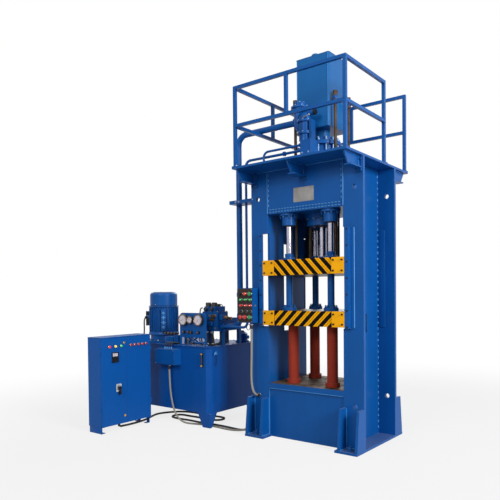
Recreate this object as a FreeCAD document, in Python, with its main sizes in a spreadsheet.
import FreeCAD, Part
import math
import os
import re

import Sketcher
from FreeCAD import Placement, Rotation, Vector

# Two-slide hydraulic press with its overhead tank deck, its power unit and its
# control cabinet. Millimetres, +Z up. The origin is on the floor at the middle of
# the four foundation bolts; -Y is the working front, +X the right-hand side.

doc = FreeCAD.newDocument("HydraulicPress")
sheet = doc.addObject("Spreadsheet::Sheet", "Sizes")
sizes = {
    # --- welded frame ---------------------------------------------------------------
    "frame_width": 1500,
    "frame_depth": 856,
    "inner_width": 1014,
    "web_thickness": 30,
    "flange_thickness": 40,
    "base_thickness": 25,
    "base_depth": 1200,
    "base_lap": 29,
    "lifting_hole": 55,
    "lifting_hole_x": 650,
    "lifting_hole_high": 2866,
    "lifting_hole_low": 486,
    "gusset_top": 468,
    "gusset_reach": 117,
    "gusset_foot": 162,
    "gusset_lip": 40,
    "gusset_thickness": 30,
    "notch_bottom": 1330,
    "notch_top": 2445,
    "notch_reach": 105,
    "slot_width": 170,
    "slot_bottom": 1258,
    "left_slot_top": 2340,
    "right_slot_top": 1475,
    "anchor_hole": 30,
    "anchor_x": 628,
    "anchor_y": 515,
    "crosshead_bottom": 2672,
    "crosshead_plate": 45,
    "bed_top": 646,
    "bed_plate_thickness": 64,
    "bed_setback": 12,
    "bed_wall": 40,
    "bed_rib_x": 265,

    # --- deck and railing -----------------------------------------------------------
    "deck_top": 3210,
    "deck_thickness": 25,
    "deck_depth": 1600,
    "bracket_x": 698,
    "bracket_width": 86,
    "bracket_web": 16,
    "bracket_plate": 14,
    "bracket_drop": 120,
    "bracket_reach": 345,
    "bracket_toe": 252,
    "bracket_seat": 170,
    "rail_tube": 36,
    "rail_inset_x": 30,
    "rail_inset_y": 35,
    "rail_height": 940,
    "mid_rail_height": 480,
    "post_foot": 72,
    "post_foot_thickness": 10,
    "side_post_y": 165,

    # --- slide guides and slides ----------------------------------------------------
    "guide_bottom": 1335,
    "guide_top": 2440,
    "guide_front": 54,
    "lip_thickness": 15,
    "guide_edge": 547,
    "guide_outer": 600,
    "guide_wall": 12,
    "guide_foot": 40,
    "slide_gap": 0.1,
    "tongue_gap": 4,
    "tongue_back": 12,
    "shoe_inner": 390,
    "platen_width": 1000,
    "shoe_proud": 12,
    "upper_bottom": 1937,
    "upper_thickness": 181,
    "lower_bottom": 1347,
    "lower_thickness": 174,
    "rod_x": 283,
    "rod_y": 301,
    "rod_diameter": 70,
    "rod_top": 2790,
    "piston_height": 60,
    "sleeve_diameter": 80,
    "sleeve_top": 2020,
    "sleeve_flange": 170,
    "sleeve_flange_thickness": 34,
    "bush_bore": 84,
    "bush_collar": 102,
    "bush_flange": 150,
    "bush_flange_thickness": 24,
    "bush_height": 77,
    "ram_diameter": 95,
    "ram_top": 3020,
    "main_bore": 280,
    "main_barrel": 360,
    "main_top": 3560,
    "main_head": 60,
    "main_gland_flange": 417,
    "main_gland_step": 62,
    "main_gland_neck": 370,
    "main_gland_drop": 143,
    "corner_gland": 165,
    "corner_gland_drop": 142,
    "corner_barrel": 150,
    "corner_bore": 100,
    "corner_top": 3150,
    "corner_head": 30,
    "fit_gap": 0.05,
    "piston_gap": 0.3,
    "limit_x": 273,
    "limit_y": 159,
    "limit_rod": 34,
    "limit_hole": 42,
    "limit_top": 4050,
    "limit_nut": 56,
    "limit_nut_height": 60,
    "limit_collar": 60,
    "limit_collar_height": 26,
    "limit_collar_bottom": 3925,
    "post_x": 265,
    "post_y": 245,
    "post_diameter": 125,
    "post_collar": 165,
    "post_collar_height": 50,
    "rest_gap": 0.3,
    "guard_left": -560,
    "guard_right": -40,
    "guard_standoff": 72,
    "guard_sheet": 4,
    "guard_bottom": 2100,
    "guard_lap": 40,

    # --- filling tank, prefill valve and pipes --------------------------------------
    "filling_x": -10,
    "filling_y": 30,
    "filling_width": 450,
    "filling_depth": 460,
    "filling_bottom": 3660,
    "filling_top": 4500,
    "filling_corner": 18,
    "filling_neck": 200,
    "cap_x": -100,
    "cap_diameter": 104,
    "cap_height": 118,
    "valve_x": -30,
    "valve_y": -330,
    "valve_barrel": 140,
    "valve_barrel_top": 3800,
    "valve_drum_x": -100,
    "valve_drum": 170,
    "valve_drum_bottom": 3850,
    "valve_drum_top": 3935,
    "valve_arm_x": -125,
    "valve_arm": 88,
    "valve_arm_bend": 120,
    "valve_arm_low": 3595,
    "valve_link": 110,
    "valve_flange": 150,
    "valve_actuator": 62,
    "valve_actuator_z": 3800,
    "pedestal_left": -56,
    "pedestal_width": 142,
    "pedestal_depth": 160,
    "pedestal_back": -240,
    "pedestal_top": 3490,
    "stool_plate": 32,
    "stool_plate_depth": 90,
    "stool_plate_top": 3712,
    "port_diameter": 84,
    "port_end": -205,
    "oil_pipe": 76,
    "oil_pipe_x": -1087,
    "oil_pipe_y": -245,
    "oil_pipe_z": 3750,
    "oil_pipe_bend": 130,
    "block_port_z": 1295,
    "return_pipe": 32,
    "return_pipe_x": -914,
    "return_pipe_y": -320,
    "return_pipe_z": 3390,
    "return_pipe_bend": 70,
    "loop_pipe": 28,
    "loop_pipe_y": -370,
    "loop_pipe_top": 3440,
    "loop_pipe_x": -530,
    "loop_pipe_bend": 70,
    "clamp_z": 2860,
    "clamp_height": 44,
    "clamp_bar": 30,
    "clamp_lap": 50,
    "clamp_wall": 10,

    # --- control box on the left column ---------------------------------------------
    "box_overhang": 116,
    "box_width": 236,
    "box_standoff": 42,
    "box_depth": 110,
    "box_bottom": 1372,
    "box_height": 421,
    "box_bracket_lap": 90,
    "box_bracket_low": 1450,
    "box_bracket_high": 1720,
    "control_inset": 74,
    "control_pitch_x": 70,
    "control_first_z": 1722,
    "control_pitch_z": 70,
    "bezel_diameter": 36,
    "bezel_height": 13,
    "cap_radius_small": 13,
    "cap_reach": 50,
    "cap_lift": 6,
    "cap_gap": 0.6,
    "stem_diameter": 12,
    "stem_depth": 24,
    "bore_depth": 36,
    "mushroom_diameter": 48,
    "mushroom_thickness": 17,
    "dome_diameter": 40,
    "knob_diameter": 32,
    "knob_bar": 10,

    # --- power unit -----------------------------------------------------------------
    "unit_left": -2800,
    "unit_right": -1337,
    "unit_front": -580,
    "unit_depth": 1000,
    "unit_bottom": 180,
    "unit_top": 1033,
    "unit_corner": 60,
    "lid_thickness": 12,
    "lid_overhang": 10,
    "foot_wing": 207,
    "foot_toe": 125,
    "foot_plate": 10,
    "motor_x": -2454,
    "motor_y": -300,
    "motor_base": 470,
    "motor_base_thickness": 30,
    "motor_bell": 384,
    "motor_bell_height": 123,
    "motor_core": 384,
    "motor_body": 418,
    "motor_height": 395,
    "motor_fins": 36,
    "motor_pad_angle": -45,
    "motor_pad_width": 64,
    "motor_pad_proud": 26,
    "motor_pad_height": 300,
    "motor_fin": 6,
    "cowl_diameter": 388,
    "cowl_height": 191,
    "cowl_dome": 42,
    "terminal_left": -2735,
    "terminal_width": 140,
    "terminal_front": -375,
    "terminal_depth": 150,
    "terminal_bottom": 1275,
    "terminal_height": 205,
    "panel_left": -1870,
    "panel_width": 474,
    "panel_front": -565,
    "panel_thickness": 10,
    "panel_height": 434,
    "panel_corner": 45,
    "panel_leg": 30,
    "panel_cut_height": 108,
    "gauge_large": 150,
    "gauge_small": 100,
    "gauge_depth": 48,
    "gauge_stem": 20,
    "gauge_z": 1388,
    "gauge_one_x": -1778,
    "gauge_two_x": -1652,
    "gauge_three_x": -1505,
    "block_left": -1610,
    "block_right": -1345,
    "block_front": -400,
    "block_depth": 210,
    "block_bottom": 1235,
    "block_top": 1490,
    "rear_block_depth": 280,
    "rear_block_top": 1400,
    "block_leg": 45,
    "solenoid_one_x": -1535,
    "solenoid_two_x": -1430,
    "solenoid_width": 84,
    "solenoid_length": 200,
    "solenoid_height": 70,
    "solenoid_coil": 46,
    "solenoid_coil_length": 36,
    "solenoid_knob": 70,
    "solenoid_knob_height": 45,
    "filter_x": -1460,
    "filter_y": 255,
    "filter_flange": 190,
    "filter_body": 150,
    "filter_height": 145,
    "junction_left": -2214,
    "junction_width": 369,
    "junction_depth": 120,
    "junction_bottom": 787,
    "junction_height": 208,
    "hose_diameter": 42,
    "hose_one_x": -1570,
    "hose_two_x": -1475,
    "hose_y": -362,
    "hose_sway": 24,

    # --- electrical cabinet ---------------------------------------------------------
    "cabinet_face": -2205,
    "cabinet_depth": 265,
    "cabinet_near": -1595,
    "cabinet_length": 805,
    "cabinet_base": 80,
    "cabinet_top": 1189,
    "cabinet_wall": 4,
    "plinth_inset": 8,
    "plinth_wall": 6,
    "plinth_flange": 60,
    "plinth_foot": 52,
    "plinth_strip": 18,
    "door_thickness": 20,
    "door_skin": 3,
    "door_margin": 3,
    "door_seal": 0.5,
    "door_gap": 1.6,
    "lamp_z": 1077,
    "lamp_diameter": 30,
    "lamp_boss": 8,
    "left_lamp_y": -1478,
    "left_lamp_pitch": 92,
    "right_lamp_y": -1135,
    "right_lamp_pitch": 63.5,
    "meter_near": -1440,
    "meter_width": 106,
    "meter_bottom": 874,
    "meter_height": 130,
    "meter_boss": 9,
    "switch_y": -1335,
    "switch_z": 548,
    "switch_plate": 80,
    "switch_plate_height": 96,
    "switch_stem": 14,
    "switch_handle_length": 104,
    "switch_handle_width": 22,
    "hinge_offset": 9,
    "hinge_set_in": 8,
    "hinge_pin": 8,
    "hinge_knuckle": 14,
    "hinge_length": 30,
    "hinge_leaf": 4,
    "hinge_leaf_reach": 46,
    "hinge_high": 1010,
    "hinge_low": 312,
    "lock_y": -1237,
    "top_lock_z": 1112,
    "bottom_lock_z": 180,
    "lock_diameter": 22,
    "lock_head": 30,
    "lock_cam": 26,

    # --- conduits and cables --------------------------------------------------------
    "conduit_diameter": 28,
    "motor_cable_diameter": 20,
    "junction_conduit_diameter": 24,
    "floor_cable_diameter": 28,
    "gland_wall": 7,
    "box_gland": 28,
    "box_gland_inset": 176,
    "column_gland": 10,
    "foot_gland": 12,
    "foot_gland_z": 50,
    "conduit_entry_y": -505,
    "cable_entry_y": -458,
    "terminal_gland": 15,
    "terminal_gland_x": -2700,
    "terminal_gland_z": 1400,
    "end_gland": 15,
    "end_gland_x": -2400,
    "end_gland_z": 1020,
    "junction_gland": 20,
    "junction_gland_x": -1997,
    "junction_gland_y": -645,
    "floor_gland": 12,
    "floor_gland_x": -2330,
    "floor_gland_y": -1235,
}
for row, (name, number) in enumerate(sizes.items(), 1):
    sheet.set("A%d" % row, name)
    sheet.set("B%d" % row, str(number))
    sheet.setAlias("B%d" % row, name)

doc.recompute()
pattern = re.compile(r"[a-z][a-z0-9_]*")


def bound(text):
    # A plain wording of a size becomes a reference to its cell.
    def swap(found):
        word = found.group(0)
        return "Sizes." + word if word in sizes else word
    return pattern.sub(swap, str(text))


def bind(item, target, text):
    item.setExpression(target, bound(text))


def read(name):
    return float(sheet.get(name))


def sided(side, near, far):
    # A span on one side of the middle plane, low end first.
    if side > 0:
        return (near, far)
    return ("-(%s)" % far, "-(%s)" % near)


def block(name, x, y, z):
    item = doc.addObject("Part::Box", name)
    for span, length, axis in ((x, "Length", "x"), (y, "Width", "y"), (z, "Height", "z")):
        bind(item, length, "(%s) - (%s)" % (span[1], span[0]))
        bind(item, "Placement.Base." + axis, span[0])
    return item


UP = Rotation()
ALONG_X = Rotation(Vector(0, 0, 1), Vector(1, 0, 0))
ALONG_Y = Rotation(Vector(0, 0, 1), Vector(0, 1, 0))


def bar(name, axis, centre, ends, diameter):
    # A round bar along one axis; centre holds the two other coordinates.
    item = doc.addObject("Part::Cylinder", name)
    item.Placement = Placement(Vector(), {"x": ALONG_X, "y": ALONG_Y, "z": UP}[axis])
    bind(item, "Radius", "(%s) / 2" % diameter)
    bind(item, "Height", "(%s) - (%s)" % (ends[1], ends[0]))
    others = [letter for letter in "xyz" if letter != axis]
    bind(item, "Placement.Base." + axis, ends[0])
    for letter, text in zip(others, centre):
        bind(item, "Placement.Base." + letter, text)
    return item


def outline(body, name, points):
    # A closed outline of straight edges, each corner tied to the sheet.
    sketch = body.newObject("Sketcher::SketchObject", name + "_outline")
    plane = [f for f in body.Origin.OriginFeatures if f.Role == "XY_Plane"][0]
    sketch.AttachmentSupport = [(plane, "")]
    sketch.MapMode = "FlatFace"
    count = len(points)
    probe = [(math.cos(2 * math.pi * i / count), math.sin(2 * math.pi * i / count))
             for i in range(count)]
    for i in range(count):
        start = Vector(probe[i][0], probe[i][1], 0)
        end = Vector(probe[(i + 1) % count][0], probe[(i + 1) % count][1], 0)
        sketch.addGeometry(Part.LineSegment(start, end))
    for i in range(count):
        sketch.addConstraint(Sketcher.Constraint("Coincident", i, 2, (i + 1) % count, 1))
    for i in range(count):
        for k, kind in ((0, "DistanceX"), (1, "DistanceY")):
            row = sketch.addConstraint(Sketcher.Constraint(kind, -1, 1, i, 1, probe[i][k]))
            sketch.setExpression("Constraints[%d]" % row, bound(points[i][k]))
    return sketch


# A plate drawn in the Y-Z plane grows along +X, one drawn in X-Z grows along -Y.
FACING_X = Rotation(Vector(0, 1, 0), Vector(0, 0, 1), Vector(1, 0, 0), "XYZ")
FACING_Y = Rotation(Vector(1, 0, 0), Vector(0, 0, 1), Vector(0, -1, 0), "XYZ")


def plate(name, facing, points, start, thickness):
    body = doc.addObject("PartDesign::Body", name)
    pad = body.newObject("PartDesign::Pad", name + "_pad")
    pad.Profile = outline(body, name, points)
    bind(pad, "Length", thickness)
    turn = {"x": FACING_X, "y": FACING_Y, "z": UP}[facing]
    body.Placement = Placement(Vector(), turn)
    bind(body, "Placement.Base." + facing, start)
    return body


TO_UP = Rotation(Vector(0, 1, 0), Vector(0, 0, 1))
TO_FRONT = Rotation(Vector(1, 0, 0), Vector(0, -1, 0), Vector(0, 0, -1), "XYZ")
TO_SIDE = Rotation(Vector(0, 1, 0), Vector(1, 0, 0))


def turned(name, facing, place, points):
    # A turned piece: points are (radius, height along the axis).
    body = doc.addObject("PartDesign::Body", name)
    round_cut = body.newObject("PartDesign::Revolution", name + "_turning")
    sketch = outline(body, name, points)
    round_cut.Profile = sketch
    round_cut.ReferenceAxis = (sketch, ["V_Axis"])
    round_cut.Angle = 360
    turn = {"up": TO_UP, "front": TO_FRONT, "side": TO_SIDE}[facing]
    body.Placement = Placement(Vector(), turn)
    for letter, text in zip("xyz", place):
        bind(body, "Placement.Base." + letter, text)
    return body


def fuse(name, *parts):
    if len(parts) == 1:
        return parts[0]
    item = doc.addObject("Part::MultiFuse", name)
    item.Shapes = list(parts)
    item.Refine = True
    return item


def cut(name, base, *tools):
    item = doc.addObject("Part::Cut", name)
    item.Base = base
    item.Tool = fuse(name + "_cuts", *tools)
    item.Refine = True
    return item


def together(name, *parts):
    item = doc.addObject("Part::Compound", name)
    item.Links = list(parts)
    return item


def mirrored(name, source, normal):
    item = doc.addObject("Part::Mirroring", name)
    item.Source = source
    item.Normal = normal
    return item


pieces = []


def piece(name, item):
    item.Label = name
    pieces.append(item)
    return item


def four(name, make):
    parts = []
    for side in (-1, 1):
        for end in (-1, 1):
            tag = "%s_%s%s" % (name, "l" if side < 0 else "r", "f" if end < 0 else "b")
            parts.append(make(tag, side, end))
    return parts


# ================================================================ columns
# Each column is a channel open to the outside: one web and two flange plates on a
# base plate with gussets, notched where the slide guides stand.
for side, label in ((-1, "left_column"), (1, "right_column")):
    tall = ("base_thickness", "deck_top - deck_thickness")
    solids = [
        block(label + "_web", sided(side, "inner_width / 2", "inner_width / 2 + web_thickness"),
              ("-frame_depth / 2", "frame_depth / 2"), tall),
        block(label + "_base", sided(side, "inner_width / 2 - base_lap", "frame_width / 2"),
              ("-base_depth / 2", "base_depth / 2"), ("0", "base_thickness")),
    ]
    gaps = [block(label + "_slot",
                  sided(side, "inner_width / 2 - 1", "inner_width / 2 + web_thickness + 1"),
                  ("-slot_width / 2", "slot_width / 2"),
                  ("slot_bottom", "left_slot_top" if side < 0 else "right_slot_top"))]
    for end in (-1, 1):
        solids.append(block(label + "_flange",
                            sided(side, "inner_width / 2 + web_thickness", "frame_width / 2"),
                            sided(end, "frame_depth / 2 - flange_thickness", "frame_depth / 2"), tall))
        gaps.append(block(label + "_notch",
                          sided(side, "inner_width / 2 - 1", "inner_width / 2 + notch_reach"),
                          sided(end, "frame_depth / 2 - flange_thickness", "frame_depth / 2 + 1"),
                          ("notch_bottom", "notch_top")))
        gaps.append(bar(label + "_anchor_hole", "z", ("%d * anchor_x" % side, "%d * anchor_y" % end),
                        ("-1", "base_thickness + 1"), "anchor_hole"))
        face = "%d * frame_depth / 2" % end
        toe = "%d * (frame_depth / 2 + gusset_foot)" % end
        knee = "%d * (frame_depth / 2 + gusset_reach)" % end
        shape = [(face, "base_thickness"), (toe, "base_thickness"),
                 (toe, "base_thickness + gusset_lip"), (knee, "gusset_top"), (face, "gusset_top")]
        for inner in ("inner_width / 2", "frame_width / 2 - gusset_thickness"):
            start = sided(side, inner, inner + " + gusset_thickness")[0]
            solids.append(plate(label + "_gusset", "x", shape, start, "gusset_thickness"))
    for level in ("lifting_hole_high", "lifting_hole_low"):
        gaps.append(bar(label + "_lifting_hole", "y", ("%d * lifting_hole_x" % side, level),
                        ("-frame_depth / 2 - 1", "frame_depth / 2 + 1"), "lifting_hole"))
    column = cut(label + "_cut", fuse(label + "_weld", *solids), *gaps)
    if side < 0:
        # The conduit gland fills the lower front hole; two cable glands sit on the foot.
        wide = "conduit_diameter + 2 * gland_wall"
        column = fuse(label + "_glands", column,
                      bar("hole_bush", "y", ("-lifting_hole_x", "lifting_hole_low"),
                          ("-frame_depth / 2", "-frame_depth / 2 + flange_thickness"), "lifting_hole"),
                      bar("hole_gland", "y", ("-lifting_hole_x", "lifting_hole_low"),
                          ("-frame_depth / 2 - column_gland", "-frame_depth / 2"), wide),
                      bar("conduit_entry", "x", ("conduit_entry_y", "foot_gland_z"),
                          ("-frame_width / 2 - foot_gland", "-frame_width / 2"),
                          "junction_conduit_diameter + 2 * gland_wall"),
                      bar("cable_entry", "x", ("cable_entry_y", "foot_gland_z"),
                          ("-frame_width / 2 - foot_gland", "-frame_width / 2"),
                          "floor_cable_diameter + 2 * gland_wall"))
    piece(label, column)

# ================================================================ crosshead
between = ("-inner_width / 2", "inner_width / 2")
under_deck = "deck_top - deck_thickness"
solids = [block("crosshead_floor", between, ("-frame_depth / 2", "frame_depth / 2"),
                ("crosshead_bottom", "crosshead_bottom + crosshead_plate"))]
for end in (-1, 1):
    solids.append(block("crosshead_wall", between,
                        sided(end, "frame_depth / 2 - flange_thickness", "frame_depth / 2"),
                        ("crosshead_bottom", under_deck)))
gaps = [bar("crosshead_bore", "z", ("0", "0"), ("crosshead_bottom - 1", under_deck), "main_barrel")]
gaps += four("corner_seat", lambda tag, side, end: bar(
    tag, "z", ("%d * rod_x" % side, "%d * rod_y" % end), ("crosshead_bottom - 1", under_deck),
    "corner_barrel"))
gaps += four("limit_hole", lambda tag, side, end: bar(
    tag, "z", ("%d * limit_x" % side, "%d * limit_y" % end), ("crosshead_bottom - 1", under_deck),
    "limit_hole"))
piece("crosshead", cut("crosshead_cut", fuse("crosshead_weld", *solids), *gaps))

# ================================================================ bed
bed_height = ("0", "bed_top - bed_plate_thickness")
solids = [block("bed_table", between,
                ("-(frame_depth / 2 - bed_setback)", "frame_depth / 2 - bed_setback"),
                ("bed_top - bed_plate_thickness - bed_wall", "bed_top - bed_plate_thickness"))]
for end in (-1, 1):
    solids.append(block("bed_wall_plate", between,
                        sided(end, "frame_depth / 2 - bed_setback - bed_wall",
                              "frame_depth / 2 - bed_setback"), bed_height))
for side in (-1, 1):
    solids.append(block("bed_rib", sided(side, "bed_rib_x", "bed_rib_x + bed_wall"),
                        ("-(frame_depth / 2 - bed_setback)", "frame_depth / 2 - bed_setback"), bed_height))
laps = [block("bed_lap", sided(side, "inner_width / 2 - base_lap", "inner_width / 2 + 1"),
              ("-frame_depth / 2", "frame_depth / 2"), ("-1", "base_thickness")) for side in (-1, 1)]
piece("bed", cut("bed_cut", fuse("bed_weld", *solids), *laps))
piece("bed_plate", block("bed_plate_slab", between, ("-frame_depth / 2", "frame_depth / 2"),
                         ("bed_top - bed_plate_thickness", "bed_top")))

# ================================================================ deck, brackets, railing
gaps = [bar("deck_bore", "z", ("0", "0"), ("deck_top - deck_thickness - 1", "deck_top + 1"),
            "main_barrel")]
gaps += four("deck_hole", lambda tag, side, end: bar(
    tag, "z", ("%d * limit_x" % side, "%d * limit_y" % end),
    ("deck_top - deck_thickness - 1", "deck_top + 1"), "limit_hole"))
deck = block("deck_slab", ("-frame_width / 2", "frame_width / 2"), ("-deck_depth / 2", "deck_depth / 2"),
             ("deck_top - deck_thickness", "deck_top"))
piece("deck_plate", cut("deck_cut", deck, *gaps))

brackets = []
for end in (-1, 1):
    plated = "%d * (frame_depth / 2 + bracket_plate)" % end
    tip = "%d * (frame_depth / 2 + bracket_reach)" % end
    toe = "%d * (frame_depth / 2 + bracket_toe)" % end
    low = "deck_top - deck_thickness - bracket_drop"
    web = [(plated, under_deck), (tip, under_deck), (toe, low), (plated, low)]
    for place in ("-bracket_x", "0", "bracket_x"):
        brackets.append(fuse(
            "bracket",
            plate("bracket_web_plate", "x", web, place + " - bracket_web / 2", "bracket_web"),
            block("bracket_flange", (place + " - bracket_width / 2", place + " + bracket_width / 2"),
                  sided(end, "frame_depth / 2", "frame_depth / 2 + bracket_toe"),
                  (low + " - bracket_plate", low)),
            block("bracket_back", (place + " - bracket_width / 2", place + " + bracket_width / 2"),
                  sided(end, "frame_depth / 2", "frame_depth / 2 + bracket_plate"),
                  ("deck_top - deck_thickness - bracket_seat", under_deck))))
piece("deck_brackets", together("bracket_set", *brackets))

rail_x = "(frame_width / 2 - rail_inset_x)"
rail_y = "(deck_depth / 2 - rail_inset_y)"
top = ("deck_top + rail_height - rail_tube", "deck_top + rail_height")
middle = ("deck_top + mid_rail_height - rail_tube / 2", "deck_top + mid_rail_height + rail_tube / 2")


def around(text):
    return ("%s - rail_tube / 2" % text, "%s + rail_tube / 2" % text)


solids = []
for level in (top, middle):
    for side, last in ((-1, rail_y), (1, "side_post_y")):
        solids.append(block("long_rail", around("%d * %s" % (side, rail_x)),
                            ("-%s - rail_tube / 2" % rail_y, "%s + rail_tube / 2" % last), level))
        solids.append(block("cross_rail", ("-%s - rail_tube / 2" % rail_x, "%s + rail_tube / 2" % rail_x),
                            around("%d * %s" % (side, rail_y)), level))
stands = [("%d * %s" % (side, rail_x), "%d * %s" % (end, rail_y)) for side in (-1, 1) for end in (-1, 1)]
stands.append((rail_x, "side_post_y"))
for place in stands:
    solids.append(block("post", around(place[0]), around(place[1]), ("deck_top", top[0])))
for place in stands:
    edge_x = "frame_width / 2 - 1"
    wide = "post_foot / 2"
    centre_x = "%s" % place[0]
    solids.append(block("post_shoe",
                        ("max(%s - %s; -frame_width / 2)" % (centre_x, wide),
                         "min(%s + %s; frame_width / 2)" % (centre_x, wide)),
                        ("max(%s - %s; -deck_depth / 2)" % (place[1], wide),
                         "min(%s + %s; deck_depth / 2)" % (place[1], wide)),
                        ("deck_top", "deck_top + post_foot_thickness")))
for place in ((0, "-" + rail_y), (0, rail_y), ("-" + rail_x, 0)):
    solids.append(block("baluster", around(place[0]), around(place[1]), (middle[1], top[0])))
piece("railing", fuse("railing_weld", *solids))

# ================================================================ slide guides
# Each guide is a Z section: a foot on the column, a wall and a lip that covers the
# tongue of the slide's shoe.
front_of_guide = "frame_depth / 2 + guide_front"
platen_front = front_of_guide + " - shoe_proud"


def guide(tag, side, end):
    def at(x, y):
        return ("%d * (%s)" % (side, x), "%d * (%s)" % (end, y))
    points = [at("guide_edge", front_of_guide), at("guide_outer", front_of_guide),
              at("guide_outer", "frame_depth / 2 + guide_wall"),
              at("guide_outer + guide_foot", "frame_depth / 2 + guide_wall"),
              at("guide_outer + guide_foot", "frame_depth / 2"),
              at("guide_outer - guide_wall", "frame_depth / 2"),
              at("guide_outer - guide_wall", front_of_guide + " - lip_thickness"),
              at("guide_edge", front_of_guide + " - lip_thickness")]
    return plate(tag, "z", points, "guide_bottom", "guide_top - guide_bottom")


piece("guide_rails", together("guide_set", *four("guide", guide)))


# ================================================================ slides
def shoes(name, bottom, thickness):
    def shoe(tag, side, end):
        def at(x, y):
            return ("%d * (%s)" % (side, x), "%d * (%s)" % (end, y))
        tongue = front_of_guide + " - lip_thickness - slide_gap"
        points = [at("shoe_inner", platen_front), at("shoe_inner", front_of_guide),
                  at("guide_edge - slide_gap", front_of_guide), at("guide_edge - slide_gap", tongue),
                  at("guide_outer - guide_wall - tongue_gap", tongue),
                  at("guide_outer - guide_wall - tongue_gap",
                     "frame_depth / 2 - flange_thickness + tongue_back"),
                  at("platen_width / 2", "frame_depth / 2 - flange_thickness + tongue_back"),
                  at("platen_width / 2", platen_front)]
        return plate(tag, "z", points, bottom, thickness)
    return together(name + "_set", *four(name, shoe))


def platen(name, bottom, thickness, bore):
    slab = block(name + "_slab", ("-platen_width / 2", "platen_width / 2"),
                 ("-(%s)" % platen_front, platen_front), (bottom, bottom + " + " + thickness))
    if not bore:
        return slab
    gaps = four(name + "_bore", lambda tag, side, end: bar(
        tag, "z", ("%d * rod_x" % side, "%d * rod_y" % end),
        (bottom + " - 1", bottom + " + " + thickness + " + 1"), bore))
    return cut(name + "_cut", slab, *gaps)


upper_top = "upper_bottom + upper_thickness"
lower_top = "lower_bottom + lower_thickness"
piece("upper_platen", platen("upper", "upper_bottom", "upper_thickness", "bush_bore + 6"))
piece("upper_shoes", shoes("upper_shoe", "upper_bottom", "upper_thickness"))
piece("lower_platen", platen("lower", "lower_bottom", "lower_thickness", ""))
piece("lower_shoes", shoes("lower_shoe", "lower_bottom", "lower_thickness"))

# The main ram ends in a piston inside the main cylinder.
piston = "main_bore / 2 - piston_gap"
piece("main_ram", turned("ram", "up", (0, 0, upper_top), [
    (0, 0), ("ram_diameter / 2", 0), ("ram_diameter / 2", "ram_top - 2 * piston_height - (%s)" % upper_top),
    (piston, "ram_top - 2 * piston_height - (%s)" % upper_top), (piston, "ram_top - (%s)" % upper_top),
    (0, "ram_top - (%s)" % upper_top)]))

# Flanged bushes let the corner rods through the upper platen.
piece("rod_bushes", together("bush_set", *four("bush", lambda tag, side, end: turned(
    tag, "up", ("%d * rod_x" % side, "%d * rod_y" % end, upper_top), [
        ("bush_bore / 2", 0), ("bush_flange / 2", 0), ("bush_flange / 2", "bush_flange_thickness"),
        ("bush_collar / 2", "bush_flange_thickness"), ("bush_collar / 2", "bush_height"),
        ("bush_bore / 2", "bush_height")]))))

# Threaded limit rods stand on the upper platen and rise through the crosshead.
piece("limit_rods", together("limit_set", *four("limit", lambda tag, side, end: turned(
    tag, "up", ("%d * limit_x" % side, "%d * limit_y" % end, upper_top), [
        (0, 0), ("limit_nut / 2", 0), ("limit_nut / 2", "limit_nut_height / 2"),
        ("limit_rod / 2", "limit_nut_height / 2"),
        ("limit_rod / 2", "limit_collar_bottom - (%s)" % upper_top),
        ("limit_collar / 2", "limit_collar_bottom - (%s)" % upper_top),
        ("limit_collar / 2", "limit_collar_bottom + limit_collar_height - (%s)" % upper_top),
        ("limit_rod / 2", "limit_collar_bottom + limit_collar_height - (%s)" % upper_top),
        ("limit_rod / 2", "limit_top - limit_nut_height - (%s)" % upper_top),
        ("limit_nut / 2", "limit_top - limit_nut_height - (%s)" % upper_top),
        ("limit_nut / 2", "limit_top - (%s)" % upper_top),
        (0, "limit_top - (%s)" % upper_top)]))))

# Corner rods: a bright rod with a piston above, inside a painted sleeve below.
piston = "corner_bore / 2 - piston_gap"
piece("corner_rods", together("rod_set", *four("rod", lambda tag, side, end: turned(
    tag, "up", ("%d * rod_x" % side, "%d * rod_y" % end, lower_top), [
        (0, 0), ("rod_diameter / 2", 0), ("rod_diameter / 2", "rod_top - (%s)" % lower_top),
        (piston, "rod_top - (%s)" % lower_top), (piston, "rod_top + piston_height - (%s)" % lower_top),
        (0, "rod_top + piston_height - (%s)" % lower_top)]))))
piece("rod_sleeves", together("sleeve_set", *four("sleeve", lambda tag, side, end: turned(
    tag, "up", ("%d * rod_x" % side, "%d * rod_y" % end, lower_top), [
        ("rod_diameter / 2", 0), ("sleeve_flange / 2", 0),
        ("sleeve_flange / 2", "sleeve_flange_thickness"),
        ("sleeve_diameter / 2", "sleeve_flange_thickness"),
        ("sleeve_diameter / 2", "sleeve_top - (%s)" % lower_top),
        ("rod_diameter / 2", "sleeve_top - (%s)" % lower_top)]))))

# ================================================================ cylinders
piece("main_cylinder", turned("main_barrel_tube", "up", (0, 0, "crosshead_bottom"), [
    ("main_bore / 2", 0), ("main_barrel / 2", 0), ("main_barrel / 2", "main_top - crosshead_bottom"),
    (0, "main_top - crosshead_bottom"), (0, "main_top - main_head - crosshead_bottom"),
    ("main_bore / 2", "main_top - main_head - crosshead_bottom")]))
sliding = "ram_diameter / 2 + fit_gap"
piece("main_gland", turned("main_gland_ring", "up", (0, 0, "crosshead_bottom - main_gland_drop"), [
    (sliding, 0), ("main_gland_neck / 2", 0),
    ("main_gland_neck / 2", "main_gland_drop - main_gland_step"),
    ("main_gland_flange / 2", "main_gland_drop - main_gland_step"),
    ("main_gland_flange / 2", "main_gland_drop"), ("main_bore / 2", "main_gland_drop"),
    ("main_bore / 2", "main_gland_drop + crosshead_plate"), (sliding, "main_gland_drop + crosshead_plate")]))
sliding = "rod_diameter / 2 + fit_gap"
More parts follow.
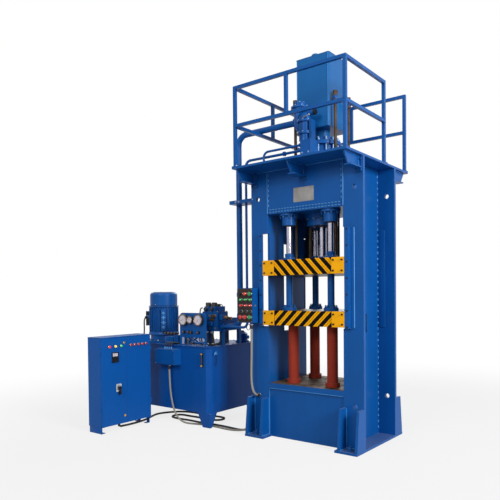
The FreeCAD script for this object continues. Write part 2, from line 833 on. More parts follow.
piece("corner_cylinders", together("corner_set", *four("corner", lambda tag, side, end: turned(
    tag, "up", ("%d * rod_x" % side, "%d * rod_y" % end, "crosshead_bottom - corner_gland_drop"), [
        (sliding, 0), ("corner_gland / 2", 0), ("corner_gland / 2", "corner_gland_drop"),
        ("corner_barrel / 2", "corner_gland_drop"),
        ("corner_barrel / 2", "corner_top - crosshead_bottom + corner_gland_drop"),
        (0, "corner_top - crosshead_bottom + corner_gland_drop"),
        (0, "corner_top - corner_head - crosshead_bottom + corner_gland_drop"),
        ("corner_bore / 2", "corner_top - corner_head - crosshead_bottom + corner_gland_drop"),
        ("corner_bore / 2", "corner_gland_drop + crosshead_plate"),
        (sliding, "corner_gland_drop + crosshead_plate")]))))

# Loose support posts stand on the bed under the lower platen.
piece("support_posts", together("post_set", *four("prop", lambda tag, side, end: turned(
    tag, "up", ("%d * post_x" % side, "%d * post_y" % end, "bed_top"), [
        (0, 0), ("post_collar / 2", 0), ("post_collar / 2", "post_collar_height"),
        ("post_diameter / 2", "post_collar_height"),
        ("post_diameter / 2", "lower_bottom - rest_gap - bed_top"),
        (0, "lower_bottom - rest_gap - bed_top")]))))

# A dark sheet hangs behind the upper opening on two standoffs.
back = "frame_depth / 2 + guard_standoff"
solids = [block("guard_panel", ("guard_left", "guard_right"), (back, back + " + guard_sheet"),
                ("guard_bottom", "crosshead_bottom + guard_lap"))]
for place in ("guard_left + 60", "guard_right - 100"):
    solids.append(block("guard_arm", (place, place + " + 40"), ("frame_depth / 2", back),
                        ("crosshead_bottom", "crosshead_bottom + guard_lap")))
piece("rear_guard", fuse("guard_weld", *solids))

# ================================================================ filling tank and valve
left = "filling_x - filling_width / 2"
right = "filling_x + filling_width / 2"
front = "filling_y - filling_depth / 2"
rear = "filling_y + filling_depth / 2"
inset = "filling_corner"
shell = plate("filling_shell", "z", [
    (left + " + " + inset, front), (right + " - " + inset, front), (right, front + " + " + inset),
    (right, rear + " - " + inset), (right + " - " + inset, rear), (left + " + " + inset, rear),
    (left, rear + " - " + inset), (left, front + " + " + inset)],
    "filling_bottom", "filling_top - filling_bottom")
neck = bar("filling_neck_tube", "z", ("0", "0"), ("main_top", "filling_bottom"), "filling_neck")
cap = turned("breather_cap", "up", ("cap_x", "filling_y", "filling_top"), [
    (0, 0), ("cap_diameter * 0.34", 0), ("cap_diameter * 0.34", "cap_height * 0.4"),
    ("cap_diameter / 2", "cap_height * 0.4"), ("cap_diameter / 2", "cap_height * 0.85"),
    ("cap_diameter * 0.4", "cap_height"), (0, "cap_height")])
piece("filling_tank", fuse("filling_weld", shell, neck, cap))



# ================================================================ pipes
def tube(name, points, diameter, radii):
    # Straight runs joined by tangent arcs, swept with a round section.
    places = [Vector(*p) for p in points]
    edges = []
    last = places[0]
    for i in range(1, len(places) - 1):
        before = (places[i] - places[i - 1]).normalize()
        after = (places[i + 1] - places[i]).normalize()
        turn = before.getAngle(after)
        reach = radii[i - 1] * math.tan(turn / 2)
        start = places[i] - before * reach
        end = places[i] + after * reach
        inward = (after - before).normalize()
        middle = places[i] + inward * (radii[i - 1] / math.cos(turn / 2) - radii[i - 1])
        if (start - last).Length > 1e-6:
            edges.append(Part.LineSegment(last, start).toShape())
        edges.append(Part.Arc(start, middle, end).toShape())
        last = end
    edges.append(Part.LineSegment(last, places[-1]).toShape())
    spine = Part.Wire(edges)
    ring = Part.Circle(places[0], places[1] - places[0], diameter / 2).toShape()
    shape = spine.makePipeShell([Part.Wire([ring])], True, False)
    shape = Part.Solid(shape.Shells[0]) if shape.ShapeType != "Solid" else shape
    ideal = math.pi * diameter ** 2 / 4 * spine.Length
    print("%s: length %.0f, volume ratio %.4f" % (name, spine.Length, shape.Volume / ideal))
    item = doc.addObject("Part::Feature", name)
    item.Shape = shape
    item.Placement = Placement()
    return item


def slack(name, points, diameter):
    # A free cord: each arc is as large as its two runs allow.
    places = [Vector(*p) for p in points]
    radii = []
    for i in range(1, len(places) - 1):
        before = places[i] - places[i - 1]
        after = places[i + 1] - places[i]
        turn = before.getAngle(after)
        radii.append(0.45 * min(before.Length, after.Length) / math.tan(turn / 2))
    print("%s: radii / diameter %s" % (name, ["%.1f" % (r / diameter) for r in radii]))
    return tube(name, points, diameter, radii)


# The prefill valve: a barrel on a welded stool, an arm that bends round from the drum on
# top to the foot of the barrel, a link to the tank and the small cylinder that opens it.
tank_front = "filling_y - filling_depth / 2"
stool_right = "pedestal_left + pedestal_width"
stool_front = "pedestal_back - pedestal_depth"
valve_parts = [
    block("valve_stool", ("pedestal_left", stool_right), (stool_front, "pedestal_back"),
          ("deck_top", "pedestal_top")),
    block("valve_stool_plate", (stool_right + " - stool_plate", stool_right),
          (stool_front + " + 20", stool_front + " + 20 + stool_plate_depth"),
          ("deck_top", "stool_plate_top")),
    turned("valve_barrel_turning", "up", ("valve_x", "valve_y", "pedestal_top"), [
        (0, 0), ("valve_barrel / 2", 0), ("valve_barrel / 2", "valve_barrel_top - pedestal_top - 40"),
        ("valve_barrel * 0.38", "valve_barrel_top - pedestal_top"),
        (0, "valve_barrel_top - pedestal_top")]),
    turned("valve_drum_turning", "up", ("valve_drum_x", "valve_y", "valve_drum_bottom"), [
        (0, 0), ("valve_drum / 2", 0), ("valve_drum / 2", "valve_drum_top - valve_drum_bottom - 26"),
        ("valve_drum * 0.42", "valve_drum_top - valve_drum_bottom - 26"),
        ("valve_drum * 0.42", "valve_drum_top - valve_drum_bottom"),
        (0, "valve_drum_top - valve_drum_bottom")]),
    turned("valve_link_turning", "front",
           ("valve_drum_x", tank_front, "(valve_drum_bottom + valve_drum_top) / 2 - 8"), [
        (0, 0), ("valve_flange / 2", 0), ("valve_flange / 2", 16), ("valve_link / 3", 16),
        ("valve_link / 3", "-(valve_y - (%s))" % tank_front), (0, "-(valve_y - (%s))" % tank_front)]),
    bar("valve_actuator_tube", "x", ("valve_y", "valve_actuator_z"),
        ("valve_drum_x", stool_right + " + 6"), "valve_actuator"),
    bar("valve_port", "x", ("oil_pipe_y", "oil_pipe_z"), ("port_end", "valve_x"), "port_diameter")]
bend = read("valve_arm_bend")
valve_parts.append(tube("valve_arm_tube", [
    (read("valve_arm_x"), read("valve_y"), read("valve_drum_bottom") + 20),
    (read("valve_arm_x"), read("valve_y"), read("valve_arm_low")),
    (read("valve_x") + 40, read("valve_y"), read("valve_arm_low"))],
    read("valve_arm"), [bend]))
piece("prefill_valve", fuse("valve_casting", *valve_parts))

y = read("oil_pipe_y")
x = read("oil_pipe_x")
high = read("oil_pipe_z")
low = read("block_port_z")
bend = read("oil_pipe_bend")
piece("oil_pipe", tube("oil_pipe_tube", [
    (read("port_end"), y, high), (x, y, high), (x, y, low), (read("block_right"), y, low)],
    read("oil_pipe"), [bend, bend]))
y = read("return_pipe_y")
x = read("return_pipe_x")
high = read("return_pipe_z")
bend = read("return_pipe_bend")
start = read("pedestal_left")
run = tube("return_pipe_tube", [
    (start, y, high), (x, y, high), (x, y, low), (read("block_right"), y, low)],
    read("return_pipe"), [bend, bend])
y = read("loop_pipe_y")
high = read("loop_pipe_top")
bend = read("loop_pipe_bend")
x = read("loop_pipe_x") - bend
drop = high - 2 * bend
loop = tube("loop_pipe_tube", [
    (start, y, high), (x, y, high), (x, y, drop), (start, y, drop)],
    read("loop_pipe"), [bend * 0.999, bend * 0.999])
piece("small_pipes", together("small_pipe_set", run, loop))

bar_front = "-(frame_depth / 2 - flange_thickness)"
clamp = fuse("clamp_body",
             block("clamp_arm", ("oil_pipe_x - oil_pipe / 2 - clamp_wall", "-frame_width / 2 + clamp_lap"),
                   (bar_front, bar_front + " + clamp_bar"), ("clamp_z", "clamp_z + clamp_height")),
             block("clamp_block", ("oil_pipe_x - oil_pipe / 2 - clamp_wall", "return_pipe_x + return_pipe * 1.5"),
                   (bar_front + " + clamp_bar", "oil_pipe_y + oil_pipe * 0.75"),
                   ("clamp_z", "clamp_z + clamp_height")))
piece("pipe_clamp", cut("clamp_cut", clamp,
                        bar("clamp_large", "z", ("oil_pipe_x", "oil_pipe_y"),
                            ("clamp_z - 1", "clamp_z + clamp_height + 1"), "oil_pipe"),
                        bar("clamp_small", "z", ("return_pipe_x", "return_pipe_y"),
                            ("clamp_z - 1", "clamp_z + clamp_height + 1"), "return_pipe")))

# ================================================================ control box
box_left = "-(frame_width / 2 + box_overhang)"
box_right = box_left + " + box_width"
box_back = "-(frame_depth / 2 + box_standoff)"
box_face = box_back + " - box_depth"
moving = [("mode_selector", 0, 0), ("cycle_button", 2, 0), ("up_button", 0, 3), ("down_button", 1, 3),
          ("eject_button", 2, 3), ("slide_stop", 0, 4), ("main_stop", 1, 4), ("start_mushroom", 2, 4)]
lamps = [(1, 0), (0, 1), (1, 1), (2, 1), (0, 2), (1, 2), (2, 2)]


def control_at(column, line):
    return (box_left + " + control_inset + %d * control_pitch_x" % column,
            "control_first_z - %d * control_pitch_z" % line)


box = fuse("box_weld",
           block("box_shell", (box_left, box_right), (box_face, box_back),
                 ("box_bottom", "box_bottom + box_height")),
           block("box_bracket", ("-frame_width / 2", "-frame_width / 2 + box_bracket_lap"),
                 (box_back, "-frame_depth / 2"), ("box_bracket_low", "box_bracket_high")),
           bar("box_gland_body", "z", (box_left + " + box_gland_inset", box_back + " - box_depth / 2"),
               ("box_bottom - box_gland", "box_bottom"), "conduit_diameter + 2 * gland_wall"))
bores = []
for name, column, line in moving:
    place = control_at(column, line)
    bores.append(bar(name + "_bore", "y", place, (box_face + " - 1", box_face + " + bore_depth"),
                     "stem_diameter + 2 * fit_gap"))
piece("control_box", cut("box_cut", box, *bores))

rings = []
for column in range(3):
    for line in range(5):
        place = control_at(column, line)
        rings.append(turned("bezel", "front", (place[0], box_face, place[1]), [
            ("cap_radius_small + cap_gap", 0), ("bezel_diameter / 2", 0),
            ("bezel_diameter / 2", "bezel_height * 0.7"), ("bezel_diameter / 2 - 2", "bezel_height"),
            ("cap_radius_small + cap_gap", "bezel_height")]))
piece("control_bezels", together("bezel_set", *rings))

glasses = []
for column, line in lamps:
    place = control_at(column, line)
    wide = "dome_diameter / 2" if line == 0 else "cap_radius_small"
    glasses.append(turned("lamp_glass", "front", (place[0], box_face, place[1]), [
        (0, 0), ("cap_radius_small", 0), ("cap_radius_small", "bezel_height + 4"),
        (wide, "bezel_height + 6"), (wide, "cap_reach - 8"), (wide + " - 5", "cap_reach"),
        (0, "cap_reach")]))
piece("control_lamps", together("lamp_set", *glasses))

for name, column, line in moving:
    place = control_at(column, line)
    seat = (place[0], box_face + " + stem_depth", place[1])
    panel = "stem_depth"
    if name in ("up_button", "down_button", "eject_button", "mode_selector"):
        points = [(0, 0), ("stem_diameter / 2", 0), ("stem_diameter / 2", panel + " + cap_lift"),
                  ("cap_radius_small", panel + " + cap_lift"),
                  ("cap_radius_small", panel + " + cap_reach - 2"),
                  ("cap_radius_small - 2", panel + " + cap_reach"), (0, panel + " + cap_reach")]
    else:
        points = [(0, 0), ("stem_diameter / 2", 0), ("stem_diameter / 2", panel + " + cap_lift"),
                  ("cap_radius_small", panel + " + cap_lift"),
                  ("cap_radius_small", panel + " + cap_reach - mushroom_thickness"),
                  ("mushroom_diameter / 2", panel + " + cap_reach - mushroom_thickness + 4"),
                  ("mushroom_diameter / 2", panel + " + cap_reach - 6"),
                  ("mushroom_diameter / 2 - 8", panel + " + cap_reach"), (0, panel + " + cap_reach")]
    cap = turned(name + "_turning", "front", seat, points)
    if name == "mode_selector":
        grip = block("selector_grip", (place[0] + " - knob_bar / 2", place[0] + " + knob_bar / 2"),
                     (box_face + " - cap_reach - 12", box_face + " - bezel_height - 3"),
                     (place[1] + " - knob_diameter / 2", place[1] + " + knob_diameter / 2"))
        cap = fuse("selector_knob", cap, grip)
    piece(name, cap)

# ================================================================ power unit: tank
unit_back = "unit_front + unit_depth"
c = "unit_corner"
k = "unit_corner * 0.293"
corners = []
for sx, sy, ex, ey in ((1, 1, "unit_left", "unit_front"), (-1, 1, "unit_right", "unit_front"),
                       (-1, -1, "unit_right", unit_back), (1, -1, "unit_left", unit_back)):
    first = ("%s + %d * %s" % (ex, sx, c), ey)
    soft = ("%s + %d * %s" % (ex, sx, k), "%s + %d * %s" % (ey, sy, k))
    last = (ex, "%s + %d * %s" % (ey, sy, c))
    corners += [last, soft, first] if sx * sy > 0 else [first, soft, last]
solids = [plate("unit_shell", "z", corners, "unit_bottom", "unit_top - unit_bottom"),
          block("unit_lid", ("unit_left - lid_overhang", "unit_right + lid_overhang"),
                ("unit_front - lid_overhang", unit_back + " + lid_overhang"),
                ("unit_top", "unit_top + lid_thickness"))]
for side, edge in ((1, "unit_left"), (-1, "unit_right")):
    for end, wall in ((1, "unit_front"), (-1, unit_back)):
        outer = "%s + %d * foot_plate" % (edge, side)
        wing = [(edge, "0"), ("%s + %d * foot_toe" % (edge, side), "0"),
                ("%s + %d * foot_wing" % (edge, side), "unit_bottom"), (edge, "unit_bottom")]
        near = wall + " + foot_plate" if end > 0 else wall
        solids.append(plate("foot_front_wing", "y", wing, near, "foot_plate"))
        wing = [(wall, "0"), ("%s + %d * foot_toe * 0.32" % (wall, end), "0"),
                ("%s + %d * foot_wing * 0.68" % (wall, end), "unit_bottom"), (wall, "unit_bottom")]
        near = edge if side > 0 else edge + " - foot_plate"
        solids.append(plate("foot_side_wing", "x", wing, near, "foot_plate"))
piece("oil_tank", fuse("unit_weld", *solids))

# ================================================================ power unit: motor
lid_top = "unit_top + lid_thickness"
bell_top = lid_top + " + motor_bell_height"
motor = [turned("motor_turning", "up", ("motor_x", "motor_y", lid_top), [
    (0, 0), ("motor_base / 2", 0), ("motor_base / 2", "motor_base_thickness"),
    ("motor_bell / 2", "motor_base_thickness"), ("motor_bell / 2", "motor_bell_height - 20"),
    ("motor_core / 2", "motor_bell_height"), ("motor_core / 2", "motor_bell_height + motor_height"),
    (0, "motor_bell_height + motor_height")])]
fins = int(round(read("motor_fins")))
for i in range(fins):
    fin = doc.addObject("Part::Box", "motor_fin_bar")
    bind(fin, "Length", "motor_body / 2")
    bind(fin, "Width", "motor_fin")
    bind(fin, "Height", "motor_height - 40")
    angle = 360.0 * i / fins
    fin.Placement = Placement(Vector(), Rotation(Vector(0, 0, 1), angle))
    bind(fin, "Placement.Base.x", "motor_x + motor_fin / 2 * sin(%.3f)" % angle)
    bind(fin, "Placement.Base.y", "motor_y - motor_fin / 2 * cos(%.3f)" % angle)
    bind(fin, "Placement.Base.z", bell_top + " + 20")
    motor.append(fin)
pad = doc.addObject("Part::Box", "motor_pad_bar")
bind(pad, "Length", "motor_body / 2 + motor_pad_proud")
bind(pad, "Width", "motor_pad_width")
bind(pad, "Height", "motor_pad_height")
pad.Placement = Placement(Vector(), Rotation(Vector(0, 0, 1), read("motor_pad_angle")))
bind(pad, "Placement.Base.x", "motor_x + motor_pad_width / 2 * sin(motor_pad_angle)")
bind(pad, "Placement.Base.y", "motor_y - motor_pad_width / 2 * cos(motor_pad_angle)")
bind(pad, "Placement.Base.z", bell_top + " + (motor_height - motor_pad_height) / 2")
motor.append(pad)
motor.append(block("terminal_box", ("terminal_left", "terminal_left + terminal_width"),
                   ("terminal_front", "terminal_front + terminal_depth"),
                   ("terminal_bottom", "terminal_bottom + terminal_height")))
motor.append(bar("terminal_gland_body", "y", ("terminal_gland_x", "terminal_gland_z"),
                 ("terminal_front - terminal_gland", "terminal_front"),
                 "motor_cable_diameter + 2 * gland_wall"))
piece("pump_motor", fuse("motor_casting", *motor))
piece("fan_cowl", turned("cowl_turning", "up", ("motor_x", "motor_y", bell_top + " + motor_height"), [
    (0, 0), ("cowl_diameter / 2", 0), ("cowl_diameter / 2", "cowl_height - cowl_dome"),
    ("cowl_diameter / 2 - cowl_dome * 0.12", "cowl_height - cowl_dome * 0.5"),
    ("cowl_diameter / 2 - cowl_dome * 0.5", "cowl_height - cowl_dome * 0.12"),
    ("cowl_diameter / 2 - cowl_dome", "cowl_height"), (0, "cowl_height")]))

# ================================================================ power unit: gauges
panel_right = "panel_left + panel_width"
panel_top = lid_top + " + panel_height"
cut_top = lid_top + " + panel_cut_height"
panel = plate("panel_sheet", "y", [
    ("panel_left", lid_top), ("panel_left + panel_leg", lid_top), ("panel_left + panel_leg", cut_top),
    (panel_right + " - panel_leg", cut_top), (panel_right + " - panel_leg", lid_top),
    (panel_right, lid_top), (panel_right, panel_top + " - panel_corner"),
    (panel_right + " - panel_corner * 0.3", panel_top + " - panel_corner * 0.3"),
    (panel_right + " - panel_corner", panel_top), ("panel_left + panel_corner", panel_top),
    ("panel_left + panel_corner * 0.3", panel_top + " - panel_corner * 0.3"),
    ("panel_left", panel_top + " - panel_corner")], "panel_front + panel_thickness", "panel_thickness")
feet = [block("panel_toe", (start, start + " + panel_leg"),
              ("panel_front + panel_thickness", "panel_front + panel_thickness + 45"),
              (lid_top, lid_top + " + 12"))
        for start in ("panel_left", panel_right + " - panel_leg")]
places = [("gauge_one_x", "gauge_large"), ("gauge_two_x", "gauge_small"), ("gauge_three_x", "gauge_large")]
holes = [bar("gauge_hole", "y", (place[0], "gauge_z"),
             ("panel_front - 1", "panel_front + panel_thickness + 1"), "gauge_stem") for place in places]
piece("gauge_panel", cut("panel_cut", fuse("panel_weld", panel, *feet), *holes))
dials = []
for place, wide in places:
    dials.append(turned("dial", "front", (place, "panel_front + panel_thickness + 12", "gauge_z"), [
        (0, 0), ("gauge_stem / 2", 0), ("gauge_stem / 2", "panel_thickness + 12"),
        (wide + " / 2 - 6", "panel_thickness + 12"),
        (wide + " / 2 - 6", "panel_thickness + gauge_depth"),
        (wide + " / 2", "panel_thickness + gauge_depth + 2"),
        (wide + " / 2", "panel_thickness + gauge_depth + 12"),
        (wide + " / 2 - 8", "panel_thickness + gauge_depth + 12"),
        (wide + " / 2 - 8", "panel_thickness + gauge_depth + 6"),
        (0, "panel_thickness + gauge_depth + 6")]))
piece("pressure_gauges", together("dial_set", *dials))

# ================================================================ power unit: valve block
block_back = "block_front + block_depth"
rear_back = "block_front + block_depth + rear_block_depth"
solids = [block("main_block", ("block_left", "block_right"), ("block_front", block_back),
                ("block_bottom", "block_top")),
          block("rear_block", ("block_left + 10", "block_right"), (block_back, rear_back),
                ("block_bottom", "rear_block_top"))]
for start in ("block_left", "block_right - block_leg"):
    for near in ("block_front + block_depth / 2", rear_back + " - block_leg"):
        solids.append(block("block_leg_post", (start, start + " + block_leg"),
                            (near, near + " + block_leg"), (lid_top, "block_bottom")))
piece("valve_block", fuse("block_weld", *solids))
valves = []
for place in ("solenoid_one_x", "solenoid_two_x"):
    near = block_back + " - 5 - solenoid_length"
    valves.append(fuse(
        "solenoid",
        block("solenoid_body", (place + " - solenoid_width / 2", place + " + solenoid_width / 2"),
              (near, block_back + " - 5"), ("block_top", "block_top + solenoid_height")),
        bar("solenoid_coil_end", "y", (place, "block_top + solenoid_height / 2"),
            (near + " - solenoid_coil_length", near), "solenoid_coil"),
        bar("solenoid_knob_head", "z", (place, near + " + solenoid_knob / 2"),
            ("block_top + solenoid_height", "block_top + solenoid_height + solenoid_knob_height"),
            "solenoid_knob")))
piece("solenoid_valves", together("solenoid_set", *valves))
piece("return_filter", fuse(
    "filter_casting",
    turned("filter_turning", "up", ("filter_x", "filter_y", lid_top), [
        (0, 0), ("filter_flange / 2", 0), ("filter_flange / 2", 20), ("filter_body / 2", 20),
        ("filter_body / 2", "filter_height - 25"), ("filter_body / 2 - 30", "filter_height"),
        (0, "filter_height")]),
    bar("filter_port", "x", ("filter_y", lid_top + " + filter_height / 2"),
        ("filter_x", "filter_x + filter_body / 2 + 35"), "filter_body / 3")))
piece("junction_box", fuse(
    "junction_weld",
    block("junction_body", ("junction_left", "junction_left + junction_width"),
          ("unit_front - junction_depth", "unit_front"),
          ("junction_bottom", "junction_bottom + junction_height")),
    bar("junction_gland_body", "z", ("junction_gland_x", "junction_gland_y"),
        ("junction_bottom - junction_gland", "junction_bottom"),
        "junction_conduit_diameter + 2 * gland_wall")))
top = read("block_bottom")
floor = read("unit_top") + read("lid_thickness")
y = read("hose_y")
sway = read("hose_sway")
hoses = []
for name in ("hose_one_x", "hose_two_x"):
    x = read(name)
    hoses.append(slack(name[:8] + "_tube", [
        (x, y, top), (x, y, top - 62), (x + sway, y - sway / 2, floor + 62), (x + sway, y - sway / 2, floor)],
        read("hose_diameter")))
piece("suction_hoses", together("hose_set", *hoses))

# ================================================================ cabinet
cab_back = "cabinet_face - cabinet_depth"
cab_front = "cabinet_face - door_thickness - door_seal"
cab_far = "cabinet_near + cabinet_length"
hollow = block("cabinet_room", (cab_back + " + cabinet_wall", cab_front + " + 1"),
               ("cabinet_near + cabinet_wall", cab_far + " - cabinet_wall"),
               ("cabinet_base + cabinet_wall", "cabinet_top - cabinet_wall"))
case = block("cabinet_case", (cab_back, cab_front), ("cabinet_near", cab_far), ("cabinet_base", "cabinet_top"))
# The case stands on two cross channels, cut out between their front and back feet.
plinth = []
rail_back = cab_back + " + plinth_inset"
rail_front = cab_front + " - plinth_inset / 2"
for wall, inward in (("cabinet_near + plinth_inset", 1), (cab_far + " - plinth_inset", -1)):
    def across(depth):
        return (wall, "%s + %s" % (wall, depth)) if inward > 0 else ("%s - %s" % (wall, depth), wall)
    lower = block("plinth_lower", (rail_back, rail_front), across("plinth_flange"), ("0", "plinth_wall"))
    upper = block("plinth_upper", (rail_back, rail_front), across("plinth_flange"),
                  ("cabinet_base - plinth_wall", "cabinet_base"))
    web = block("plinth_web", (rail_back, rail_front), across("plinth_wall"), ("0", "cabinet_base"))
    through = ("%s - plinth_flange - 1" % wall, "%s + plinth_flange + 1" % wall)
    window = block("plinth_window", (rail_back + " + plinth_foot", rail_front + " - plinth_foot"),
                   through, ("-1", "cabinet_base - plinth_strip"))
    plinth.append(cut("plinth_rail", fuse("plinth_channel", lower, upper, web), window))
plinth.append(bar("floor_gland_body", "z", ("floor_gland_x", "floor_gland_y"),
                  ("cabinet_base - floor_gland", "cabinet_base"), "floor_cable_diameter + 2 * gland_wall"))
plinth.append(bar("end_gland_body", "y", ("end_gland_x", "end_gland_z"), (cab_far, cab_far + " + end_gland"),
                  "motor_cable_diameter + 2 * gland_wall"))
hinge_x = "(cabinet_face - hinge_set_in)"
hinge_levels = ("hinge_high", "hinge_low")


def hinge_at(wall, outward):
    # The pin stands clear of the case's side wall.
    return "(%s + %d * hinge_offset)" % (wall, outward)



hinges = []
for wall, outward in (("cabinet_near", -1), (cab_far, 1)):
    for level in hinge_levels:
        centre = (hinge_x, hinge_at(wall, outward))
        low = level + " - hinge_length"
        flat = (wall, "%s + hinge_leaf" % wall) if outward > 0 else ("%s - hinge_leaf" % wall, wall)
        hinges.append(block("hinge_leaf_plate", (hinge_x + " - hinge_leaf_reach", hinge_x), flat, (low, level)))
        hinges.append(bar("hinge_lower_knuckle", "z", centre, (low, level), "hinge_knuckle"))
        hinges.append(bar("hinge_pin_rod", "z", centre, (low, level + " + hinge_length"), "hinge_pin"))
piece("cabinet_shell", fuse("cabinet_weld", cut("cabinet_open", case, hollow), *plinth, *hinges))
gear = [block("gear_plate", (cab_back + " + cabinet_wall", cab_back + " + cabinet_wall + 12"),
              ("cabinet_near + 40", cab_far + " - 40"), ("cabinet_base + 40", "cabinet_top - 40"))]
for line in range(3):
    base_z = "cabinet_base + 140 + %d * (cabinet_top - cabinet_base - 200) / 3" % line
    for column in range(4):
        base_y = "cabinet_near + 90 + %d * (cabinet_length - 140) / 4" % column
        gear.append(block("gear_unit", (cab_back + " + cabinet_wall + 12", cab_back + " + 100 - %d" % (12 * line)),
                          (base_y, base_y + " + 110 - %d" % (8 * line)), (base_z, base_z + " + 130")))
piece("switchgear", fuse("gear_mount", *gear))

door_back = "cabinet_face - door_thickness"
seam = "(cabinet_near + cabinet_length / 2)"
door_z = ("cabinet_base + door_margin", "cabinet_top - door_margin")
lock_places = [("top_lock", "top_lock_z"), ("bottom_lock", "bottom_lock_z")]
for label, span, first, pitch, count, wall, outward in (
        ("left_door", ("cabinet_near + door_margin", seam + " - door_gap / 2"),
         "left_lamp_y", "left_lamp_pitch", 3, "cabinet_near", -1),
        ("right_door", (seam + " + door_gap / 2", cab_far + " - door_margin"),
         "right_lamp_y", "right_lamp_pitch", 5, cab_far, 1)):
    solids = [block(label + "_pan", (door_back, "cabinet_face"), span, door_z)]
    axis_y = hinge_at(wall, outward)
    edge_y = span[0] if outward < 0 else span[1]
    pins = []
    for level in hinge_levels:
        knuckle = (level + " + rest_gap", level + " + hinge_length - rest_gap")
        solids.append(bar(label + "_knuckle", "z", (hinge_x, axis_y), knuckle, "hinge_knuckle"))
        solids.append(block(label + "_strap", (hinge_x + " - hinge_leaf / 2", hinge_x + " + hinge_leaf / 2"),
                            (axis_y, edge_y) if outward < 0 else (edge_y, axis_y), knuckle))
        pins.append(bar(label + "_pin_bore", "z", (hinge_x, axis_y),
                        (level, level + " + hinge_length"), "hinge_pin + 2 * fit_gap"))
    for i in range(count):
        solids.append(bar(label + "_lamp", "x", ("%s + %d * %s" % (first, i, pitch), "lamp_z"),
                          ("cabinet_face", "cabinet_face + lamp_boss"), "lamp_diameter"))
    gaps = [block(label + "_back", (door_back + " - 1", "cabinet_face - door_skin"),
                  ("%s + door_skin" % span[0], "%s - door_skin" % span[1]),
                  (door_z[0] + " + door_skin", door_z[1] + " - door_skin"))] + pins
    if label == "left_door":
        solids.append(block("meter_case", ("cabinet_face", "cabinet_face + meter_boss"),
                            ("meter_near", "meter_near + meter_width"),
                            ("meter_bottom", "meter_bottom + meter_height")))
        solids.append(block("switch_base", ("cabinet_face", "cabinet_face + meter_boss"),
                            ("switch_y - switch_plate / 2", "switch_y + switch_plate / 2"),
                            ("switch_z - switch_plate_height / 2", "switch_z + switch_plate_height / 2")))
        gaps.append(bar("switch_bore", "x", ("switch_y", "switch_z"),
                        (door_back, "cabinet_face + meter_boss + 1"), "switch_stem + 2 * fit_gap"))
        for name, level in lock_places:
            gaps.append(bar(name + "_bore", "x", ("lock_y", level), (door_back, "cabinet_face + 1"),
                            "lock_diameter + 2 * fit_gap"))
    piece(label, cut(label + "_cut", fuse(label + "_weld", *solids), *gaps))

for name, level in lock_places:
    piece(name, fuse(
        name + "_lock",
        turned(name + "_barrel", "side", ("cabinet_face - door_skin - 6", "lock_y", level), [
            (0, 0), ("lock_diameter / 2", 0), ("lock_diameter / 2", "door_skin + 6.2"),
            ("lock_head / 2", "door_skin + 6.2"), ("lock_head / 2", "door_skin + 12"),
            (0, "door_skin + 12")]),
        block(name + "_cam", ("cabinet_face - door_skin - 10", "cabinet_face - door_skin - 6"),
              ("lock_y - 7", "lock_y + 7"), (level + " - lock_cam", level + " + 8"))))
piece("switch_handle", fuse(
    "handle_casting",
    bar("handle_stem", "x", ("switch_y", "switch_z"),
        ("cabinet_face - door_skin - 2", "cabinet_face + meter_boss + 20"), "switch_stem"),
    bar("handle_hub", "x", ("switch_y", "switch_z"),
        ("cabinet_face + meter_boss + 0.5", "cabinet_face + meter_boss + 30"), "switch_handle_width * 2"),
    block("handle_grip", ("cabinet_face + meter_boss + 12", "cabinet_face + meter_boss + 38"),
          ("switch_y - switch_handle_width / 2", "switch_y + switch_handle_width / 2"),
          ("switch_z - switch_handle_length * 0.8", "switch_z + switch_handle_length * 0.2"))))

# ================================================================ conduits and cables
# From the control box down the column to its lower hole.
box_x = read("box_gland_inset") - read("frame_width") / 2 - read("box_overhang")
box_y = -(read("frame_depth") / 2 + read("box_standoff") + read("box_depth") / 2)
start = read("box_bottom") - read("box_gland")
hole_x = -read("lifting_hole_x")
hole_z = read("lifting_hole_low")
entry = -read("frame_depth") / 2 - read("column_gland")
piece("control_conduit", slack("conduit_tube", [
    (box_x, box_y, start), (box_x, box_y, start - 279), (box_x - 7, box_y - 5, start - 569),
    (box_x + 1, box_y - 10, hole_z + 139), (box_x + 20, box_y - 5, hole_z + 59),
    (hole_x - 6, entry - 71, hole_z + 21), (hole_x, entry - 34, hole_z), (hole_x, entry, hole_z)],
    read("conduit_diameter")))

# From the motor's terminal box over the tank's edge into the cabinet's end.
x = read("terminal_gland_x")
y = read("terminal_front") - read("terminal_gland")
z = read("terminal_gland_z")
end_x = read("end_gland_x")
end_y = read("cabinet_near") + read("cabinet_length") + read("end_gland")
end_z = read("end_gland_z")
piece("motor_cable", slack("motor_cable_tube", [
    (x, y, z), (x, y - 21, z), (x, y - 49, z - 16), (x, y - 65, z - 44), (x, y - 67, z - 100),
    (x + 4, y - 68, z - 205), (x + 28, y - 105, z - 285), (x + 90, y - 170, z - 325),
    (end_x - 125, end_y + 177, end_z + 40), (end_x - 52, end_y + 140, end_z + 22),
    (end_x - 10, end_y + 85, end_z + 6), (end_x, end_y + 35, end_z), (end_x, end_y, end_z)],
    read("motor_cable_diameter")))

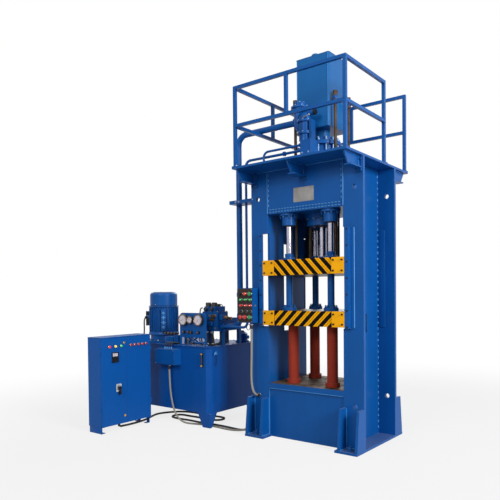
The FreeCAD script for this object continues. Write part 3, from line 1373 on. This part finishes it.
# From the junction box down to the floor and along it to the press foot.
x = read("junction_gland_x")
y = read("junction_gland_y")
z = read("junction_bottom") - read("junction_gland")
wide = read("junction_conduit_diameter")
lying = wide / 2 + 1
foot_x = -read("frame_width") / 2 - read("foot_gland")
foot_y = read("conduit_entry_y")
foot_z = read("foot_gland_z")
piece("junction_conduit", slack("junction_conduit_tube", [
    (x, y, z), (x, y, z - 117), (x + 15, y - 3, z - 317), (x + 39, y + 3, z - 477),
    (x + 72, y + 13, lying + 155), (x + 117, y + 27, lying + 72), (x + 177, y + 47, lying + 20),
    (x + 257, y + 70, lying), (x + 367, y + 105, lying), (x + 517, y + 148, lying),
    (foot_x - 528, foot_y + 5, lying), (foot_x - 298, foot_y - 20, lying),
    (foot_x - 138, foot_y - 5, lying + 12), (foot_x - 50, foot_y, foot_z), (foot_x, foot_y, foot_z)], wide))

# From the cabinet's floor, in loose bends under the tank, to the press foot.
x = read("floor_gland_x")
y = read("floor_gland_y")
z = read("cabinet_base") - read("floor_gland")
wide = read("floor_cable_diameter")
lying = wide / 2 + 1
foot_y = read("cable_entry_y")
piece("floor_cable", slack("floor_cable_tube", [
    (x, y, z), (x, y, z - 24), (x, y + 11, lying + 10.7), (x, y + 29, lying), (x + 2, y + 70, lying),
    (x + 12, y + 150, lying), (x + 8, y + 305, lying), (x - 22, y + 475, lying), (x - 100, y + 645, lying),
    (x - 175, y + 825, lying), (-2440, -235, lying), (-2320, -90, lying), (-2140, -40, lying),
    (-1940, -54, lying), (-1720, -46, lying), (-1558.6, -40, lying), (-1500, -98.6, lying),
    (-1500, -181.4, lying), (-1558.6, -240, lying), (-1720, -250, lying), (-1860, -234, lying),
    (-2001, -246, lying), (-2161.4, -240, lying), (-2220, -298.6, lying), (-2220, -381.4, lying),
    (-2161.4, -440, lying), (-2003, -452, lying), (-1815, -436, lying), (-1630, -450, lying),
    (-1440, -425, lying), (-1190, -428, lying), (foot_x - 228, foot_y + 6, lying),
    (foot_x - 123, foot_y - 4, lying + 7), (foot_x - 50, foot_y, foot_z), (foot_x, foot_y, foot_z)], wide))

# ================================================================ check and export
doc.recompute()
for item in doc.Objects:
    bad = [word for word in item.State if word in ("Invalid", "Error")]
    if bad:
        raise RuntimeError("%s: %s" % (item.Label, bad))
os.makedirs("parts", exist_ok=True)
for item in pieces:
    if item.Shape.isNull() or not item.Shape.isValid():
        raise RuntimeError("%s has no valid shape" % item.Label)
    item.Shape.exportStep("parts/%s.step" % item.Label)
print("%d pieces" % len(pieces))
